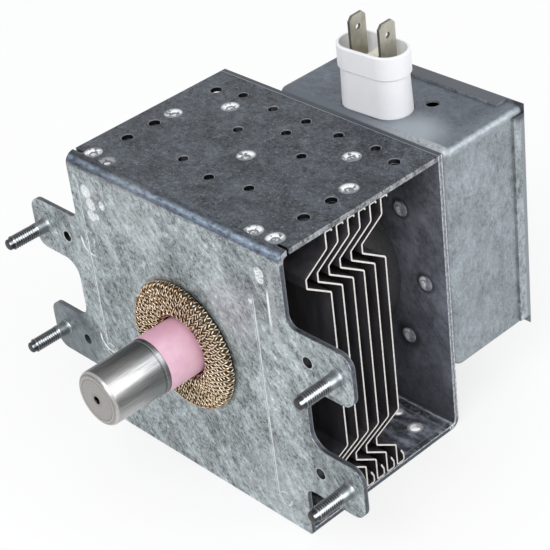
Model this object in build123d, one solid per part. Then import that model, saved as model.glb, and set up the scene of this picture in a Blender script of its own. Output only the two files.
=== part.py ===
from build123d import *
import os

# Magnetron of a microwave oven, in millimetres, +Z up.
# Origin: centre of the four mounting studs on the mounting face. The antenna points along -Y,
# cooling air crosses along X, and the filter box stands behind the yoke on +Y.

# Yoke: two L-shaped folded steel sheets that close a frame open at both sides
SHEET = 1.5
YOKE_WIDTH = 80.0
YOKE_DEPTH = 57.2
YOKE_HEIGHT = 85.8
AXIS_Z = 2.2                      # the tube's axis above the middle of the studs
FOLD_RADIUS = 3.0                 # outside of the fold
SLIT_LONG, SLIT_WIDE = 3.4, 0.9   # at each end of the top fold
FRONT_HOLE = 9.4                  # radius round the tube's metal collars, both walls
PAST = 1.0                        # how far a cut runs on past the faces it opens

# Ears of the front wall, with the studs and the spare screw holes
EAR_LEVEL = 17.2
EAR_HEIGHT = 15.4
EAR_LENGTH = 21.0
EAR_CORNER = 4.0
WAIST_STEP = 3.9                  # how far the front wall stands out beside the yoke between the ears
WAIST_FILLET = 5.0
SHOULDER_FILLET = 3.0
STUD_INSET = 5.1                  # from the ear's end
STUD_RADIUS = 2.0
STUD_LENGTH = 13.0
STUD_POINT, POINT_STEP = 1.2, 0.55
STUD_SEAT = 2.3                   # the knurled seat in the ear
STUD_ROOT_RADIUS, STUD_ROOT = 2.6, 0.4
STUD_HEAD_RADIUS = 3.3
STUD_HEAD = 1.3
SCREW_SPACING = 9.7               # from the stud, toward the yoke
SCREW_RADIUS = 1.55

# Pressed features of the top and bottom walls: distance from the side's middle, then depth from the
# front, or with a minus sign ahead of the back
HOLE_RADIUS = 1.35
WIDE_HOLE_RADIUS = 1.6
HOLE_EDGE = 0.2                   # worn edge round each hole
SMALL_HOLES = [(24.5, -7.6), (12.1, -8.3), (0, -8.0), (11.8, -21.4), (0, -15.3), (12.3, 17.1), (0, 14.8)]
WIDE_HOLES = [(32.9, -9.8), (32.9, 25.1), (32.9, 15.7)]
DIMPLES = [(32.6, -25.6), (22.5, -14.2), (0, 27.7)]
CORNER_DIMPLES = [(34.1, 5.1), (27.5, 4.3)]
DIMPLE_TOP, DIMPLE_FOOT, DIMPLE_DEPTH = 2.6, 0.85, 0.6

# Tool marks pressed into the front wall, in X and in distance under the yoke's top
FRONT_MARKS = [(-33.5, 9.2), (-27.8, 10.8), (-32.5, 13.2), (32.7, 7.7), (32.7, 9.2)]
MARK_TOP, MARK_FOOT, MARK_DEPTH = 1.4, 0.5, 0.35
SEAMS = [(-36.8, 7.6, 58.8), (28.9, 16.1, 78.1)]
SEAM_WIDE, SEAM_DEPTH = 0.5, 0.15

# Magnets
MAGNET_RADIUS = 23.6
MAGNET_BORE = 10.0
MAGNET_THICK = 12.0

# Anode
ANODE_RADIUS = 19.5
ANODE_BORE = 17.2
ANODE_RECESS, RECESS_DEPTH = 18.2, 1.6
VANES = 10
VANE_THICK = 2.0
VANE_HEIGHT = 9.5
VANE_TIP = 4.5
STRAP_INNER, STRAP_OUTER = 6.0, 7.8           # mean radii of the two rings at each end
STRAP_WIDE, STRAP_HIGH = 0.9, 1.1
STRAP_GAP = 0.5                               # air round a strap where it passes a vane

# Metal collars that join the anode to the ceramics, and the pole pieces
COLLAR_SHEET = 0.5
COLLAR_RADIUS = 8.8
FLANGE = 0.8
POLE_THICK = 1.6
POLE_CONE = 11.2
POLE_HOLE = 4.8
POLE_GAP = 1.9                                # from the pole tip to the vanes

# Cathode
FILAMENT_RADIUS, FILAMENT_WIRE, FILAMENT_TURNS = 1.7, 0.5, 7
HAT_RADIUS, HAT_THICK = 3.9, 1.0
LEAD_RADIUS, LEAD_OFFSET = 0.8, 3.0
LEAD_JOG, LEAD_SLANT = 1.0, 6.0
STEM_GAP, STEM_LENGTH, LEAD_STICKS_OUT = 0.9, 7.0, 2.0
HAT_EASE = 0.3                                # air round the lead in the far hat

# Antenna
CERAMIC_RADIUS, CERAMIC_BORE, LIP_EASE = 8.1, 5.8, 0.4
CERAMIC_REACH = 12.4                          # front end of the pink ceramic ahead of the yoke
CAP_RADIUS, CAP_SHEET = 7.7, 0.45
CAP_REACH = 30.4
CAP_RIM = 1.3
CAP_LIP, CAP_LIP_LENGTH = 0.25, 1.4
CAP_HOLE = 1.15
SEAL_LENGTH = 4.0
TUBE_RADIUS, TUBE_BORE, TUBE_LENGTH, TUBE_BACK = 2.6, 1.2, 11.0, 2.0
ANTENNA_RADIUS, ANTENNA_TIP = 1.1, 1.0           # the tip stays that far inside the tube's end
ANTENNA_START = 9.6                           # radius at which the lead leaves its vane
ANTENNA_RISE, ANTENNA_KNEE, KNEE_DEPTH, ANTENNA_LEVEL = 2.2, 3.2, 5.0, 2.0
ANTENNA_EASE = 0.8                            # air round the lead in the pole piece
GASKET_RADIUS, GASKET_BORE, GASKET_PROUD, GASKET_EDGE = 18.8, 8.6, 2.7, 1.2

# Cooling fins: folded aluminium sheets. Fold levels are shares of the way from the magnets' rim to
# the inside of the yoke's wall.
FINS = 6
FIN_PITCH = 3.83
FIN_FIRST = 15.5
FIN_SHEET = 0.45
FIN_INSET = 0.2                               # each side of the fin inside the yoke's edge
FIN_UP = (0.02, 0.30, 0.46, 0.73)
FIN_DOWN = (0.0, 0.225, 0.375, 0.62)
NOSE_UP, NOSE_DOWN = 7.6, 8.9                 # how far the folded noses come forward
FIN_SHIFT = 2.1                               # how far the lower foot stands forward
FOOT_UP, FOOT_DOWN = 2.6, 3.0
LIP_UP, LIP_DOWN = 0.9, 2.2
HOOK = 0.9, 1.9                               # the lower lip's tip, folded back
FIN_BEND = 0.7
FIN_COLLAR, COLLAR_WALL = 2.0, 0.4

# Filter box and its lid
BOX_SHEET = 0.8
BOX_LEFT, BOX_RIGHT = -19.2, 41.2
BOX_BOTTOM, BOX_TOP = -21.3, 45.9
BOX_DEPTH = 29.1
BOX_CORNER = 2.4
LID_SHEET = 0.7
LID_FLANGE = 3.9
LID_NOTCH_X, LID_NOTCH_Z = 5.4, 2.6
VENT_X, VENT_BACK, VENT_RADIUS = 21.7, 17.0, 1.9
RIVETS = [(25.4, 24.5), (32.6, 4.0), (25.1, -16.0), (-12.4, 32.0)]
RIVET_RADIUS, RIVET_HEAD, RIVET_CLENCH, RIVET_DOME = 1.5, 2.5, 2.0, 0.8

# Connector on the box: a stadium-shaped housing with two blades, turned a little as it is riveted
PLUG_X, PLUG_BACK, PLUG_TURN = 10.3, 8.4, 3.6  # its middle, that far behind the yoke, and its turn
PLUG_HALF_LONG, PLUG_HALF_WIDE = 10.5, 5.7
PLUG_STEP, PLUG_TOP = 10.9, 17.5              # heights over the box
PLUG_TAPER, PLUG_RIM = 0.35, 0.25             # narrower under the rim and wider at it, each side
PLUG_WALL, PLUG_EDGE = 0.8, 0.3
PLUG_FLOOR = 6.0
PLUG_FIT = 0.25                               # clearance in the box's opening
BLADE_WIDE, BLADE_THICK, BLADE_RISE = 6.2, 0.8, 25.0
BLADE_SPACING = 9.75
BLADE_CORNER, BLADE_HOLE, BLADE_HOLE_DROP = 1.2, 0.85, 3.65
BAR_HALF, BAR_RISE, BAR_EASE = 1.7, 3.0, 1.5
CAPACITOR_HEIGHT, CASE_HEIGHT, PLATE_THICK = 6.5, 4.0, 0.8
PLATE_HALF_LONG, PLATE_HALF_WIDE = 13.3, 5.8
TAIL_RADIUS, TAIL_END = 0.9, 3.0
TAIL_EASE, CASE_WALL = 1.6, 1.0

# Choke coils on their ferrite cores
CHOKE_BACK, CHOKE_RADIUS, CHOKE_WIRE, CHOKE_TURNS, CHOKE_PITCH = 15.4, 3.4, 1.3, 6, 2.6
CHOKE_FOOT, CHOKE_BEND, CHOKE_TIP, CHOKE_STUB = 9.5, 3.0, 2.0, 1.0
CORE_RADIUS, CORE_LENGTH = 2.6, 20.0

# Worked-out places
YOKE_TOP = AXIS_Z + YOKE_HEIGHT / 2
YOKE_BOTTOM = AXIS_Z - YOKE_HEIGHT / 2
HALF = YOKE_WIDTH / 2
WAIST_HALF = HALF + WAIST_STEP
EAR_REACH = HALF + EAR_LENGTH
STUD_X = EAR_REACH - STUD_INSET
SCREW_X = STUD_X - SCREW_SPACING
FIN_HALF = HALF - FIN_INSET
WALL_LEVEL = YOKE_HEIGHT / 2 - SHEET
FRONT_MAGNET_END = SHEET + MAGNET_THICK
REAR_MAGNET_START = YOKE_DEPTH - SHEET - MAGNET_THICK
ANODE_START = FRONT_MAGNET_END + FLANGE
ANODE_END = REAR_MAGNET_START - FLANGE
ANODE_MIDDLE = (ANODE_START + ANODE_END) / 2
VANE_START = ANODE_MIDDLE - VANE_HEIGHT / 2
VANE_END = ANODE_MIDDLE + VANE_HEIGHT / 2
BOX_END = YOKE_DEPTH + BOX_DEPTH
STEM_START = YOKE_DEPTH + BOX_SHEET + STEM_GAP
STEM_END = STEM_START + STEM_LENGTH
LEAD_END = STEM_END + LEAD_STICKS_OUT
CERAMIC_END = 1.0
PLUG_BASE = BOX_TOP - BOX_SHEET
PLUG_Y = YOKE_DEPTH + PLUG_BACK
VENT_Y = YOKE_DEPTH + VENT_BACK
CHOKE_Y = YOKE_DEPTH + CHOKE_BACK
PLATE_LOW = PLUG_BASE - PLATE_THICK
CERAMIC_LOW = PLATE_LOW - CAPACITOR_HEIGHT
CASE_LOW = CERAMIC_LOW - CASE_HEIGHT
TAIL_LOW = CASE_LOW - TAIL_END
PLUG = Pos(PLUG_X, PLUG_Y, 0) * Rot(0, 0, PLUG_TURN)
CORE_LONG, CORE_WIDE = PLUG_HALF_LONG - PLUG_TAPER - PLUG_WALL, PLUG_HALF_WIDE - PLUG_TAPER - PLUG_WALL
FACING_UP, FACING_DOWN, FACING_FRONT = Rot(0, 0, 0), Rot(180, 0, 0), Rot(90, 0, 0)


def save(shape, name):
    """Write one piece, or one group of like pieces, to its own file."""
    export_step(shape, f"parts/{name}.step")


def turned(*outline):
    """A solid turned about the tube's axis from corner points of radius and depth."""
    face = make_face(Polyline(*outline, close=True))
    return Pos(0, 0, AXIS_Z) * revolve(face, Axis.Y)


def ring(outer, inner, start, end):
    """A plain ring about the tube's axis."""
    return turned((inner, start), (outer, start), (outer, end), (inner, end))


def rod(radius, start, end):
    """A straight round bar between two points."""
    line = Vector(*end) - Vector(*start)
    return extrude(Plane(start, z_dir=line) * Circle(radius), line.length)


def bent_rod(radius, points):
    """A round bar through several points, with ball corners."""
    bar = rod(radius, points[0], points[1])
    for before, after in zip(points[1:], points[2:]):
        bar += Pos(*before) * Sphere(radius)
        bar += rod(radius, before, after)
    return bar


def near(value, target):
    """Whether a corner's place is the one meant."""
    return abs(value - target) < 0.001


def rounded(outline, radius, picked):
    """An outline with the picked corners rounded."""
    return fillet(outline.vertices().filter_by(picked), radius)


def mirrored(places):
    """Each place on both sides of the middle, once where it lies on the middle, with its depth."""
    out = []
    for x, y in places:
        depth = y if y > 0 else YOKE_DEPTH + y
        out.append((x, depth))
        if x:
            out.append((-x, depth))
    return out


def bolts_at(x):
    """The four places of a rectangular pattern on the ears."""
    return [(sx * x, sz * EAR_LEVEL) for sx in (-1, 1) for sz in (-1, 1)]


def front_wall():
    """The front wall's outline with its four ears, from the bottom edge to the fold."""
    low, high = YOKE_BOTTOM, YOKE_TOP - FOLD_RADIUS
    outline = Pos(0, (low + high) / 2) * Rectangle(YOKE_WIDTH, high - low)
    outline += Rectangle(2 * WAIST_HALF, 2 * EAR_LEVEL)
    for level in (-EAR_LEVEL, EAR_LEVEL):
        outline += Pos(0, level) * Rectangle(2 * EAR_REACH, EAR_HEIGHT)
    outline = rounded(outline, EAR_CORNER, lambda v: near(abs(v.X), EAR_REACH))
    outline = rounded(outline, WAIST_FILLET, lambda v: near(abs(v.X), WAIST_HALF))
    shoulder = EAR_LEVEL + EAR_HEIGHT / 2
    outline = rounded(outline, SHOULDER_FILLET,
                      lambda v: near(abs(v.X), HALF) and near(abs(v.Y), shoulder))
    return extrude(Plane.XZ * outline, -SHEET)


def folded_wall(wall_from, wall_to, flat_to):
    """An L-shaped sheet: a wall standing on depth 0, folded at its high end to run back to flat_to."""
    profile = make_face(Polyline(
        (0, wall_from), (0, wall_to), (flat_to, wall_to), (flat_to, wall_to - SHEET),
        (SHEET, wall_to - SHEET), (SHEET, wall_from), close=True))
    profile = rounded(profile, FOLD_RADIUS, lambda v: near(v.X, 0) and near(v.Y, wall_to))
    profile = rounded(profile, FOLD_RADIUS - SHEET,
                      lambda v: near(v.X, SHEET) and near(v.Y, wall_to - SHEET))
    return extrude(Plane.YZ * profile, HALF, both=True)


def pressing(place, foot, top, depth):
    """A coned cut, its wide end at the place and its tip in the wall."""
    return place * Cone(foot, top, depth, align=(Align.CENTER, Align.CENTER, Align.MAX))


def pierced(sheet, z, facing, corner_shift):
    """The holes and dimples of a top or bottom wall whose outer face is at z."""
    cuts = []
    for radius, places in ((HOLE_RADIUS, SMALL_HOLES), (WIDE_HOLE_RADIUS, WIDE_HOLES)):
        for x, y in mirrored(places):
            cuts.append(Pos(x, y, z) * Cylinder(radius, 4 * SHEET))
            cuts.append(pressing(Pos(x, y, z) * facing, radius, radius + HOLE_EDGE, HOLE_EDGE))
    dimples = mirrored(DIMPLES) + [(x, corner_shift(y)) for x, y in mirrored(CORNER_DIMPLES)]
    for x, y in dimples:
        cuts.append(pressing(Pos(x, y, z) * facing, DIMPLE_FOOT, DIMPLE_TOP, DIMPLE_DEPTH))
    return sheet - cuts


def front_marks():
    """The press tool's round marks and seams in the front wall."""
    cuts = []
    for x, drop in FRONT_MARKS:
        place = Pos(x, 0, YOKE_TOP - drop) * FACING_FRONT
        cuts.append(pressing(place, MARK_FOOT, MARK_TOP, MARK_DEPTH))
    for x, start, end in SEAMS:
        middle = Pos(x, 0, YOKE_TOP - (start + end) / 2)
        cuts.append(middle * Box(SEAM_WIDE, 2 * SEAM_DEPTH, end - start))
    return cuts


def yoke_front():
    """Front wall with ears, folded over into the top wall."""
    sheet = folded_wall(YOKE_BOTTOM, YOKE_TOP, YOKE_DEPTH - SHEET) + front_wall()
    for side in (-HALF, HALF):
        slit = Box(2 * SLIT_LONG, SLIT_WIDE, 4 * SHEET, align=(Align.CENTER, Align.MIN, Align.CENTER))
        sheet -= Pos(side, FOLD_RADIUS, YOKE_TOP) * slit
    sheet -= ring(FRONT_HOLE, 0, -PAST, SHEET + PAST)
    for x, z in bolts_at(STUD_X):
        sheet -= rod(STUD_SEAT, (x, -PAST, z), (x, SHEET + PAST, z))
    for x, z in bolts_at(SCREW_X):
        sheet -= rod(SCREW_RADIUS, (x, -PAST, z), (x, SHEET + PAST, z))
    return pierced(sheet - front_marks(), YOKE_TOP, FACING_UP, lambda y: y)


def yoke_rear():
    """Back wall folded under into the bottom wall, the front sheet's counterpart."""
    half_turn = Pos(0, YOKE_DEPTH / 2, AXIS_Z) * Rot(180, 0, 0) * Pos(0, -YOKE_DEPTH / 2, -AXIS_Z)
    sheet = half_turn * folded_wall(YOKE_BOTTOM, YOKE_TOP, YOKE_DEPTH - SHEET)
    sheet -= ring(FRONT_HOLE, 0, YOKE_DEPTH - SHEET - PAST, YOKE_DEPTH + PAST)
    for x, z in RIVETS:
        sheet -= rod(RIVET_RADIUS, (x, YOKE_DEPTH - SHEET - PAST, z), (x, YOKE_DEPTH + PAST, z))
    return pierced(sheet, YOKE_BOTTOM, FACING_DOWN, lambda y: YOKE_DEPTH - y)


def mounting_studs():
    """Four pressed-in studs with a soft root on the ear's front and a head behind it."""
    outline = Polyline(
        (0, SHEET + STUD_HEAD), (STUD_HEAD_RADIUS, SHEET + STUD_HEAD), (STUD_HEAD_RADIUS, SHEET),
        (STUD_SEAT, SHEET), (STUD_SEAT, 0), (STUD_ROOT_RADIUS, 0), (STUD_RADIUS, -STUD_ROOT),
        (STUD_RADIUS, STUD_POINT - STUD_LENGTH), (STUD_RADIUS - POINT_STEP, -STUD_LENGTH),
        (0, -STUD_LENGTH), close=True)
    stud = revolve(make_face(outline), Axis.Y).solid()
    return Compound([Pos(x, 0, z) * stud for x, z in bolts_at(STUD_X)])


def magnets():
    """Two ferrite rings against the front and back walls."""
    return (ring(MAGNET_RADIUS, MAGNET_BORE, SHEET, FRONT_MAGNET_END),
            ring(MAGNET_RADIUS, MAGNET_BORE, REAR_MAGNET_START, YOKE_DEPTH - SHEET))


def anode_cylinder():
    """Copper shell with a recess at each end for the pole pieces."""
    shell = ring(ANODE_RADIUS, ANODE_BORE, ANODE_START, ANODE_END)
    shell -= ring(ANODE_RECESS, 0, ANODE_START, ANODE_START + RECESS_DEPTH)
    shell -= ring(ANODE_RECESS, 0, ANODE_END - RECESS_DEPTH, ANODE_END)
    return shell


def strap(radius, at_front):
    """One strapping ring, its outer face level with the vanes' ends."""
    start = VANE_START if at_front else VANE_END - STRAP_HIGH
    return ring(radius + STRAP_WIDE / 2, radius - STRAP_WIDE / 2, start, start + STRAP_HIGH)


def strap_slot(radius, at_front, joined):
    """The slot a strap runs in: as deep as the strap where it is brazed, deeper where it passes."""
    depth = STRAP_HIGH + (0 if joined else STRAP_GAP)
    low = VANE_START if at_front else VANE_END - depth
    half = STRAP_WIDE / 2 + STRAP_GAP / 2
    return ring(radius + half, radius - half, low, low + depth)


def vane(index):
    """One radial copper vane, slotted at both ends for the straps."""
    long = ANODE_BORE + PAST
    blade = Pos(long / 2, ANODE_MIDDLE, AXIS_Z) * Box(long, VANE_HEIGHT, VANE_THICK)
    blade &= ring(ANODE_BORE, VANE_TIP, VANE_START, VANE_END)
    for at_front in (True, False):
        inner_joined = (index % 2 == 0) == at_front
        blade -= strap_slot(STRAP_INNER, at_front, inner_joined)
        blade -= strap_slot(STRAP_OUTER, at_front, not inner_joined)
    turn = -90 + index * 360 / VANES
    return Pos(0, 0, AXIS_Z) * Rot(0, turn, 0) * Pos(0, 0, -AXIS_Z) * blade


def pole_piece(at_front):
    """Iron funnel that carries the field to the vanes."""
    edge = ANODE_START if at_front else ANODE_END
    way = 1 if at_front else -1
    tip = VANE_START - POLE_GAP if at_front else VANE_END + POLE_GAP
    slope = (tip - edge - way * POLE_THICK) / (POLE_CONE - POLE_HOLE - POLE_THICK)
    return turned(
        (ANODE_RECESS, edge), (ANODE_RECESS, edge + way * POLE_THICK),
        (POLE_CONE, edge + way * POLE_THICK),
        (POLE_HOLE + POLE_THICK, tip), (POLE_HOLE, tip),
        (POLE_HOLE, tip - slope * POLE_THICK), (POLE_CONE - POLE_THICK, edge))


def collar(start, end, lip):
    """Thin metal collar: a flange on the anode's end, a tube, and a lip that holds the ceramic."""
    inner = COLLAR_RADIUS - COLLAR_SHEET
    way = 1 if end > start else -1
    flange_end = start + way * FLANGE
    lip_start = end - way * COLLAR_SHEET
    return turned(
        (ANODE_RADIUS, start), (ANODE_RADIUS, flange_end), (COLLAR_RADIUS, flange_end),
        (COLLAR_RADIUS, end), (lip, end), (lip, lip_start), (inner, lip_start), (inner, start))


def antenna_route():
    """Corner points of the antenna lead, from a vane out along the tube's axis."""
    return [(0, VANE_START, AXIS_Z + ANTENNA_START),
            (0, VANE_START - ANTENNA_RISE, AXIS_Z + ANTENNA_START),
            (0, FRONT_MAGNET_END - KNEE_DEPTH, AXIS_Z + ANTENNA_KNEE), (0, SHEET + ANTENNA_LEVEL, AXIS_Z),
            (0, ANTENNA_TIP - CERAMIC_REACH - TUBE_LENGTH, AXIS_Z)]


def front_pole_piece():
    """The front funnel, with the slanted hole that the antenna lead passes."""
    return pole_piece(True) - bent_rod(ANTENNA_RADIUS + ANTENNA_EASE, antenna_route()[:4])


def antenna_parts():
    """Everything on the output side that stands ahead of the anode."""
    front = -CERAMIC_REACH
    seal_radius = CAP_RADIUS - CAP_SHEET
    seal_inside = seal_radius - COLLAR_SHEET
    seal_end = front - SEAL_LENGTH
    save(collar(ANODE_START, CERAMIC_END, CERAMIC_BORE + LIP_EASE), "output_collar")
    save(ring(CERAMIC_RADIUS, CERAMIC_BORE, front, CERAMIC_END), "antenna_ceramic")
    save(turned((seal_radius, front), (seal_radius, seal_end), (TUBE_RADIUS, seal_end),
                (TUBE_RADIUS, seal_end + COLLAR_SHEET), (seal_inside, seal_end + COLLAR_SHEET),
                (seal_inside, front)), "output_seal_cup")
    save(ring(TUBE_RADIUS, TUBE_BORE, front - TUBE_LENGTH, front - TUBE_BACK), "exhaust_tube")
    save(bent_rod(ANTENNA_RADIUS, antenna_route()), "antenna_lead")
    save(antenna_cap(), "antenna_cap")
    gasket = turned((GASKET_BORE, 0), (GASKET_RADIUS, 0), (GASKET_RADIUS, -GASKET_PROUD),
                    (GASKET_BORE, -GASKET_PROUD))
    save(fillet(gasket.edges().filter_by(GeomType.CIRCLE), GASKET_EDGE), "rf_gasket")


def antenna_cap():
    """Deep-drawn steel cap with a rounded rim, a small end hole and a flared lip."""
    front = -CERAMIC_REACH
    cap = turned((0, -CAP_REACH), (CAP_RADIUS, -CAP_REACH), (CAP_RADIUS, front - CAP_LIP_LENGTH),
                 (CAP_RADIUS + CAP_LIP, front - CAP_LIP_LENGTH), (CAP_RADIUS + CAP_LIP, front), (0, front))
    rim = cap.edges().filter_by(GeomType.CIRCLE).group_by(Axis.Y)[0]
    cap = fillet(rim, CAP_RIM)
    hollow = ring(CAP_RADIUS - CAP_SHEET, 0, CAP_SHEET - CAP_REACH, front + PAST)
    tight = hollow.edges().filter_by(GeomType.CIRCLE).group_by(Axis.Y)[0]
    cap -= chamfer(tight, CAP_RIM - CAP_SHEET)
    return cap - ring(CAP_HOLE, 0, -CAP_REACH - PAST, PAST - CAP_REACH)


def coil_of(radius, pitch, turns, wire):
    """A helix of square wire along +Z, starting at its -Y side."""
    path = Rot(0, 0, -90) * Helix(pitch=pitch, height=turns * pitch, radius=radius)
    section = Plane(path @ 0, x_dir=(0, 0, 1), z_dir=path % 0) * Rectangle(wire, wire)
    return sweep(section, path=path, is_frenet=True)


def cathode_parts():
    """Filament, hats, leads, collar and stem ceramic, on the tube's axis."""
    pitch = (VANE_HEIGHT - HAT_THICK) / (FILAMENT_TURNS + PAST)
    long = FILAMENT_TURNS * pitch + FILAMENT_WIRE * 1.1
    start = ANODE_MIDDLE - long / 2
    end = start + long
    coil = coil_of(FILAMENT_RADIUS, pitch, FILAMENT_TURNS, FILAMENT_WIRE)
    save(Pos(0, start + FILAMENT_WIRE * 0.55, AXIS_Z) * Rot(-90, 0, 0) * coil, "cathode_filament")
    save(ring(HAT_RADIUS, 0, start - HAT_THICK, start), "output_end_hat")
    save(ring(HAT_RADIUS, LEAD_RADIUS + HAT_EASE, end, end + HAT_THICK), "cathode_end_hat")
    jog = ANODE_END - LEAD_JOG
    save(bent_rod(LEAD_RADIUS, [(0, start, AXIS_Z), (0, jog, AXIS_Z),
                                (-LEAD_OFFSET, jog + LEAD_SLANT, AXIS_Z), (-LEAD_OFFSET, LEAD_END, AXIS_Z)]),
         "centre_lead")
    save(rod(LEAD_RADIUS, (LEAD_OFFSET, end + HAT_THICK, AXIS_Z), (LEAD_OFFSET, LEAD_END, AXIS_Z)),
         "side_lead")
    save(collar(ANODE_END, STEM_START, CERAMIC_BORE), "cathode_collar")
    stem = ring(CERAMIC_RADIUS, 0, STEM_START, STEM_END)
    for x in (-LEAD_OFFSET, LEAD_OFFSET):
        stem -= rod(LEAD_RADIUS, (x, STEM_START - PAST, AXIS_Z), (x, STEM_END + PAST, AXIS_Z))
    save(stem, "stem_ceramic")


def fold_levels(shares):
    """Heights of the folds over or under the tube's axis."""
    return [MAGNET_RADIUS + share * (WALL_LEVEL - MAGNET_RADIUS) for share in shares]


def fin_line(y):
    """Fold points of one fin in depth and height, from lip to lip."""
    top, bottom = AXIS_Z + WALL_LEVEL, AXIS_Z - WALL_LEVEL
    up = [AXIS_Z + level for level in fold_levels(FIN_UP)]
    down = [AXIS_Z - level for level in fold_levels(FIN_DOWN)]
    low = y - FIN_SHIFT
    lip = low + FOOT_DOWN, bottom + LIP_DOWN
    return [(y + FOOT_UP, top - LIP_UP), (y + FOOT_UP, top), (y, top),
            *zip((y, y - NOSE_UP, y - NOSE_UP, y), reversed(up)),
            *zip((y, y - NOSE_DOWN, y - NOSE_DOWN, low), down),
            (low, bottom), (lip[0], bottom), lip, (lip[0] - HOOK[0], lip[1] + HOOK[1])]


def cooling_fin(index):
    """One folded fin, pressed on the anode with a drawn collar, its feet on the yoke's walls."""
    y = FIN_FIRST + index * FIN_PITCH
    line = FilletPolyline(*fin_line(y), radius=FIN_BEND)
    sheet = make_face(offset(line, amount=FIN_SHEET, side=Side.LEFT, kind=Kind.ARC, closed=True))
    fin = extrude(Plane.YZ * sheet, FIN_HALF, both=True)
    outer = ANODE_RADIUS + COLLAR_WALL
    fin += ring(outer, ANODE_RADIUS, y, y + FIN_COLLAR)
    return fin - ring(ANODE_RADIUS, 0, y - PAST, y + FIN_COLLAR + PAST)


def yoke_parts():
    """Frame, studs, magnets and fins."""
    save(yoke_front(), "yoke_front")
    save(yoke_rear(), "yoke_rear")
    save(mounting_studs(), "mounting_studs")
    front_magnet, rear_magnet = magnets()
    save(front_magnet, "front_magnet")
    save(rear_magnet, "rear_magnet")
    for index in range(FINS):
        save(cooling_fin(index), f"cooling_fin_{index + 1}")


def anode_parts():
    """Anode shell, vanes, straps and pole pieces."""
    save(anode_cylinder(), "anode_cylinder")
    for index in range(VANES):
        save(vane(index), f"anode_vane_{index + 1:02d}")
    for at_front, side in ((True, "output"), (False, "cathode")):
        save(strap(STRAP_INNER, at_front), f"{side}_strap_inner")
        save(strap(STRAP_OUTER, at_front), f"{side}_strap_outer")
    save(front_pole_piece(), "output_pole_piece")
    save(pole_piece(False), "cathode_pole_piece")


def stadium(half_long, half_wide, low, high, taper=0):
    """An upright stadium-shaped block about the connector's middle, narrower at its top by the taper."""
    foot = Pos(0, 0, low) * SlotOverall(2 * half_long, 2 * half_wide)
    top = Pos(0, 0, high) * SlotOverall(2 * (half_long - taper), 2 * (half_wide - taper))
    block = loft([foot, top], ruled=True) if taper else extrude(foot, high - low)
    return PLUG * block


def filter_box():
    """Drawn box, open at the back, with the stem hole in front and the connector's opening on top."""
    wide, high = BOX_RIGHT - BOX_LEFT, BOX_TOP - BOX_BOTTOM
    middle = Pos((BOX_LEFT + BOX_RIGHT) / 2, YOKE_DEPTH, (BOX_BOTTOM + BOX_TOP) / 2)
    forward = (Align.CENTER, Align.MIN, Align.CENTER)
    block = Box(wide, BOX_DEPTH, high, align=forward)
    block = fillet(block.edges().filter_by(Axis.Y) + block.faces().sort_by(Axis.Y)[0].edges(), BOX_CORNER)
    inside = Pos(0, BOX_SHEET, 0) * Box(
        wide - 2 * BOX_SHEET, BOX_DEPTH, high - 2 * BOX_SHEET, align=forward)
    inside = fillet(
        inside.edges().filter_by(Axis.Y) + inside.faces().sort_by(Axis.Y)[0].edges(), BOX_CORNER - BOX_SHEET)
    box = middle * (block - inside)
    box -= ring(FRONT_HOLE, 0, YOKE_DEPTH - PAST, YOKE_DEPTH + BOX_SHEET + PAST)
    box -= stadium(PLUG_HALF_LONG + PLUG_FIT, PLUG_HALF_WIDE + PLUG_FIT, PLUG_BASE - PAST, BOX_TOP + PAST)
    box -= rod(VENT_RADIUS, (VENT_X, VENT_Y, PLUG_BASE - PAST), (VENT_X, VENT_Y, BOX_TOP + PAST))
    for x, z in RIVETS:
        box -= rod(RIVET_RADIUS, (x, YOKE_DEPTH - PAST, z), (x, YOKE_DEPTH + BOX_SHEET + PAST, z))
    return box


def filter_lid():
    """Flat lid with four flanges folded over the box, open at the corners."""
    left, right = BOX_LEFT - LID_SHEET, BOX_RIGHT + LID_SHEET
    bottom, top = BOX_BOTTOM - LID_SHEET, BOX_TOP + LID_SHEET
    middle = ((left + right) / 2, (bottom + top) / 2)
    low = (Align.CENTER, Align.MIN, Align.CENTER)
    start = BOX_END - LID_FLANGE
    long = LID_FLANGE + LID_SHEET
    tray = Box(right - left, long, top - bottom, align=low)
    tray = fillet(tray.faces().sort_by(Axis.Y)[-1].edges(), LID_SHEET)
    tray -= Box(BOX_RIGHT - BOX_LEFT, LID_FLANGE, BOX_TOP - BOX_BOTTOM, align=low)
    for sx in (-1, 1):
        for sz in (-1, 1):
            corner = Pos(sx * (right - left) / 2, 0, sz * (top - bottom) / 2)
            tray -= corner * Box(2 * LID_NOTCH_X, LID_FLANGE, 2 * LID_NOTCH_Z, align=low)
    return Pos(middle[0], start, middle[1]) * tray


def box_rivets():
    """Round-headed rivets that clamp the box to the yoke's back wall."""
    rivets = []
    for x, z in RIVETS:
        inner = YOKE_DEPTH - SHEET
        outer = YOKE_DEPTH + BOX_SHEET
        rivet = rod(RIVET_RADIUS, (x, inner, z), (x, outer, z))
        head = Cone(RIVET_HEAD, RIVET_HEAD - RIVET_DOME, RIVET_DOME,
                    align=(Align.CENTER, Align.CENTER, Align.MIN))
        rivet += Pos(x, inner, z) * Rot(90, 0, 0) * head
        rivet += rod(RIVET_CLENCH, (x, outer, z), (x, outer + RIVET_DOME, z))
        rivets.append(rivet.solid())
    return Compound(rivets)


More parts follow.
